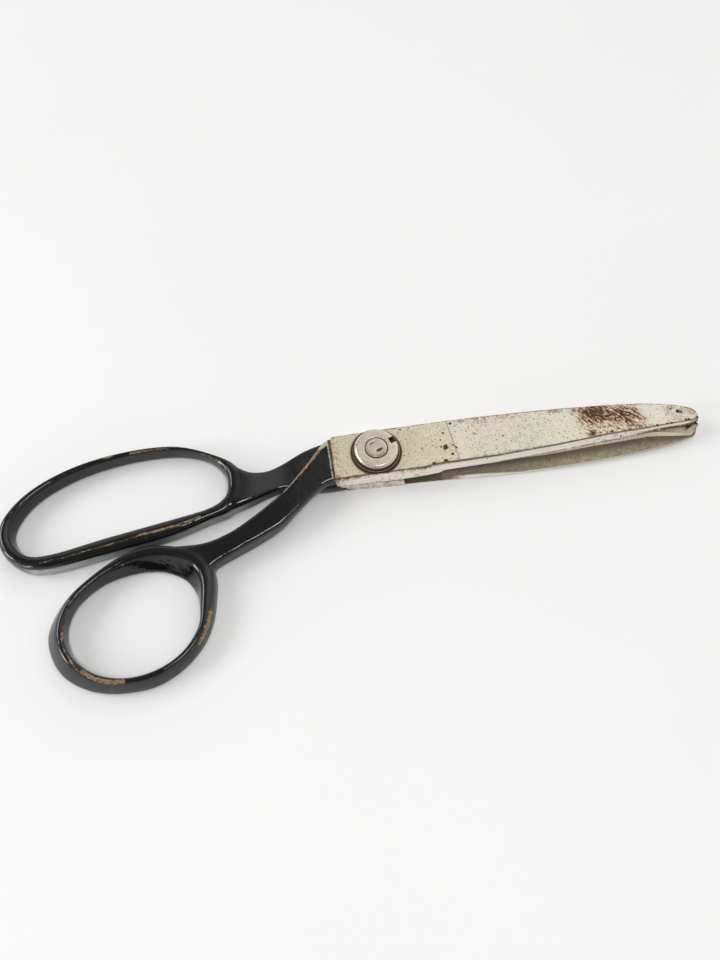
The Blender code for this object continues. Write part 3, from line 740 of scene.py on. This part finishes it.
def turned(name, outline, steps=144, notch=None):
    """A piece turned about the pivot axis from its closed (radius, height) outline in metres.

    notch is (angle, width, floor radius): a slot cut into the rim, with flat radial sides.
    """
    turns = [(2 * math.pi * k / steps, False) for k in range(steps)]
    if notch:
        angle, width, floor_radius = notch
        half = width / 2 / max(r for r, z in outline)
        start, end = math.radians(angle) - half, math.radians(angle) + half
        turns = [(turn, start < turn < end) for turn, _ in turns]
        turns += [(start, False), (start + 1e-5, True), (end - 1e-5, True), (end, False)]
        turns.sort()
    bm = bmesh.new()
    rings = []
    for turn, clipped in turns:
        reach = [min(r, floor_radius) if clipped else r for r, z in outline]
        rings.append([
            bm.verts.new((r * math.cos(turn), r * math.sin(turn), z)) for r, (_, z) in zip(reach, outline)
        ])
    for one, two in zip(rings, rings[1:] + rings[:1]):
        for k in range(len(outline)):
            n = (k + 1) % len(outline)
            bm.faces.new((one[k], one[n], two[n], two[k]))
    bmesh.ops.remove_doubles(bm, verts=bm.verts, dist=1e-8)
    bmesh.ops.dissolve_degenerate(bm, edges=bm.edges, dist=1e-9)
    bmesh.ops.recalc_face_normals(bm, faces=bm.faces)
    mesh = bpy.data.meshes.new(name)
    bm.to_mesh(mesh)
    bm.free()
    made = bpy.data.objects.new(name, mesh)
    bpy.context.scene.collection.objects.link(made)
    return made


def rounded(points, radius, count=5):
    """Rounds the corners of a closed outline."""
    made = []
    for i, here in enumerate(points):
        here = np.array(here)
        before, after = np.array(points[i - 1]), np.array(points[(i + 1) % len(points)])
        back, ahead = before - here, after - here
        reach = min(radius, np.linalg.norm(back) * 0.45, np.linalg.norm(ahead) * 0.45)
        start = here + back / np.linalg.norm(back) * reach
        end = here + ahead / np.linalg.norm(ahead) * reach
        for t in np.linspace(0.0, 1.0, count):
            made.append(tuple(start * (1 - t) ** 2 + here * 2 * t * (1 - t) + end * t ** 2))
    return made


NOTCH_ANGLE = 22.0
NOTCH = 2.1                 # side of the square spanner notch
NUT_RIM = 7.15
STEM = 3.72                 # radius of the screw's end
HEAD_DEEP = 1.8
HEAD_CHAMFER = 0.4
WASHER_HOLE = 4.3
DENT_DEEP = 0.25


def nut(surface):
    low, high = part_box("pivot_nut")
    radius, bottom, top = high.x, low.z, high.z
    bore = (STEM + 0.06) * MM
    outline = [
        (bore, top - 0.05 * MM), (bore + 0.5 * MM, top), (radius - 0.7 * MM, top),
        (radius, top - 0.65 * MM), (radius, bottom), (bore, bottom),
    ]
    notch = (NOTCH_ANGLE, NOTCH * MM, radius - NOTCH * MM)
    piece = turned("round_nut", rounded(outline, 0.35 * MM), notch=notch)
    return finish_piece(piece, "finger_half", "pivot_nut", surface, 40)


def screw(surface):
    """The screw, with a worn end: a shallow dome, a punched dent and a short curved scar."""
    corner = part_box("pivot_screw")[1]
    head, top = corner.x, corner.z
    stem, seat, chamfer = STEM * MM, HEAD_DEEP * MM, HEAD_CHAMFER * MM
    dome = [(stem * t, top - 0.12 * MM * t ** 6) for t in np.linspace(0.0, 0.97, 60)]
    outline = dome + [
        (stem, top - 0.30 * MM), (stem, seat + 0.2 * MM), (stem, seat), (head, seat), (head, chamfer),
        (head - chamfer, 0.0), (0.0, 0.0),
    ]
    piece = turned("pivot_screw_worn", outline)
    points = points_of(piece)
    x, y = points[:, 0] / MM, points[:, 1] / MM
    reach = np.hypot(x, y)
    angle = np.degrees(np.arctan2(y, x))
    dent = np.exp(-((x - 0.85) ** 2 / 1.1 + (y + 1.05 - 0.25 * x) ** 2 / 0.38))
    scar = np.exp(-((reach - 2.2) / 0.24) ** 2) * np.clip(1.6 - np.abs(angle - 125) / 26, 0, 1)
    sunk = np.where(points[:, 2] > top - 0.3 * MM, np.maximum(dent, 0.8 * scar), 0.0)
    points[:, 2] -= DENT_DEEP * MM * sunk
    piece.data.vertices.foreach_set("co", points.astype(np.float32).ravel())
    piece.data.update()
    store(piece, "sunk", sunk)
    return finish_piece(piece, "finger_half", "pivot_screw", surface, 50)


def washer(surface):
    low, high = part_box("tension_washer")
    hole = WASHER_HOLE * MM
    outline = [(hole, high.z), (high.x, high.z), (high.x, low.z), (hole, low.z)]
    piece = turned("spring_washer", rounded(outline, 0.15 * MM, 3))
    return finish_piece(piece, "finger_half", "tension_washer", surface, 60)


# ---------------------------------------------------------------- stage, light and camera

def floor():
    g = Graph("pale_floor")
    soft = g.noise(0.004, 3.0)
    colour = g.mix(g.step(soft, 0.3, 0.7), (0.865, 0.865, 0.865), (0.885, 0.885, 0.885))
    surface = g.finish(colour, 0.6, 0.0, g.noise(0.5, 2.0), 0.01 * MM, Specular_IOR_Level=0.2)
    bm = bmesh.new()
    bmesh.ops.create_grid(bm, x_segments=8, y_segments=8, size=3.0)
    mesh = bpy.data.meshes.new("floor")
    bm.to_mesh(mesh)
    bm.free()
    made = bpy.data.objects.new("floor", mesh)
    bpy.context.scene.collection.objects.link(made)
    made.location.z = cad_box[0].z - 0.05 * MM
    mesh.materials.append(surface)


LIGHTS = [                  # name, place, target, width, height, watts
    ("window", (-1.50, 0.60, 1.08), (0.0, 0.0, 0.0), 0.88, 0.88, 10.0),
    ("overhead", (0.26, -0.46, 1.65), (0.0, 0.0, 0.0), 0.63, 0.63, 8.4),
    ("side_lamp", (-1.55, -0.21, 0.58), (-0.05, -0.03, 0.0), 0.42, 0.77, 6.2),
]


def area_light(name, place, target, width, height, power):
    light = bpy.data.lights.new(name, "AREA")
    light.shape = "ELLIPSE"
    light.size = width
    light.size_y = height
    light.energy = power
    made = bpy.data.objects.new(name, light)
    bpy.context.scene.collection.objects.link(made)
    made.location = place
    made.rotation_euler = (Vector(target) - Vector(place)).to_track_quat("-Z", "Y").to_euler()


def sky():
    """A studio surround: bright walls, a dimmer ceiling, a dark side in front and a soft glow behind."""
    world = bpy.data.worlds.new("studio")
    bpy.context.scene.world = world
    world.use_nodes = True
    tree = world.node_tree
    back = tree.nodes["Background"]
    place = tree.nodes.new("ShaderNodeTexCoord").outputs["Generated"]
    axes = tree.nodes.new("ShaderNodeSeparateXYZ")
    tree.links.new(place, axes.inputs[0])

    def ramp(value, low, high, start, end):
        node = tree.nodes.new("ShaderNodeMapRange")
        node.interpolation_type = "SMOOTHSTEP"
        tree.links.new(value, node.inputs["Value"])
        for socket, number in zip(list(node.inputs)[1:5], (low, high, start, end)):
            socket.default_value = number
        return node.outputs[0]

    def lobe(direction, low, high, start, end):
        node = tree.nodes.new("ShaderNodeVectorMath")
        node.operation = "DOT_PRODUCT"
        tree.links.new(place, node.inputs[0])
        node.inputs[1].default_value = Vector(direction).normalized()
        return ramp(node.outputs["Value"], low, high, start, end)

    def join(operation, one, two):
        node = tree.nodes.new("ShaderNodeMath")
        node.operation = operation
        tree.links.new(one, node.inputs[0])
        tree.links.new(two, node.inputs[1])
        return node.outputs[0]

    made = ramp(axes.outputs[2], 0.05, 0.85, 1.02, 0.38)
    made = join("MULTIPLY", made, lobe((-0.22, 0.33, 0.92), 0.80, 0.97, 1.0, 0.55))
    made = join("MULTIPLY", made, lobe((-0.05, -0.75, 0.65), 0.70, 0.96, 1.0, 0.30))
    made = join("ADD", made, lobe((0.52, 0.46, 0.72), 0.72, 0.99, 0.0, 0.80))
    tree.links.new(made, back.inputs["Strength"])
    back.inputs["Color"].default_value = (1.0, 0.995, 0.985, 1.0)


CAMERA_PLACE = (-0.0212, -0.1102, 0.2226)
CAMERA_TILT = 25.5          # degrees from straight down
CAMERA_TURN = -8.2
FOCAL_LENGTH = 37.0


def camera():
    data = bpy.data.cameras.new("camera")
    data.sensor_fit = "HORIZONTAL"
    data.sensor_width = 36.0
    data.lens = FOCAL_LENGTH
    data.clip_start = 0.01
    made = bpy.data.objects.new("camera", data)
    bpy.context.scene.collection.objects.link(made)
    made.location = CAMERA_PLACE
    made.rotation_euler = (math.radians(CAMERA_TILT), 0.0, math.radians(CAMERA_TURN))
    bpy.context.scene.camera = made


camera()
floor()
sky()
for lamp in LIGHTS:
    area_light(*lamp)
bpy.context.scene.view_settings.view_transform = "Standard"

black = enamel()
handle("thumb_blade", "thumb_handle", "thumb_half", THUMB_WEAR, black)
handle("finger_blade", "finger_handle", "finger_half", FINGER_WEAR, black)
blade("thumb_blade", "thumb_blade_nickel", "thumb_half", thumb_steel())
blade("finger_blade", "finger_blade_nickel", "finger_half", finger_steel())
nut(pivot_steel("nut_nickel", NUT_TINT, NUT_SIDE_SHADE, 0.65, nut_dirt_and_shade))
screw(screw_steel())
washer(pivot_steel("washer_steel", WASHER_TINT, WASHER_SIDE_SHADE, 0.2, washer_dirt_and_shade))
